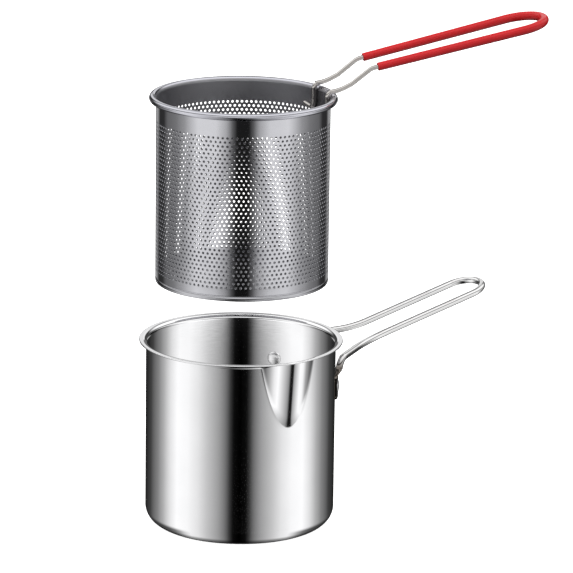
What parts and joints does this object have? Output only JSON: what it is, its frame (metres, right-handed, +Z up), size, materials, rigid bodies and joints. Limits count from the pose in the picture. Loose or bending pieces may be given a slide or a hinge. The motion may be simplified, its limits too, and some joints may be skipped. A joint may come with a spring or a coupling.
{
  "type": "deep fryer pot",
  "caption": "Round steel frying pot with a pouring spout and a riveted wire loop handle, and a perforated frying basket with a sleeved wire handle that lifts out of it.",
  "frame": {"origin": "centre of the pot's flat base, on the surface that it stands on", "axes": "+Z up, +X towards the end of the pot's handle, -Y towards the pouring spout"},
  "size_m": [0.2587, 0.1288, 0.3198],
  "materials": {
    "pot_steel": "mirror-polished stainless steel",
    "handle_wire": "polished round wire",
    "rivet": "polished domed rivet",
    "basket_steel": "satin perforated sheet",
    "basket_wire": "satin round wire",
    "grip": "smooth red plastic sleeve"
  },
  "bodies": {
    "pot": {"pot_shell": "pot_steel", "pot_handle": "handle_wire", "rivet_spout_side": "rivet", "rivet_far_side": "rivet"},
    "basket": {"basket_wall": "basket_steel", "basket_floor": "basket_steel", "basket_handle": "basket_wire", "basket_grip": "grip"}
  },
  "joints": [
    {"name": "basket_lift", "type": "slide", "parent": "pot", "child": "basket", "axis": [0, 0, 1], "range_m": [-0.1555, 0]}
  ]
}
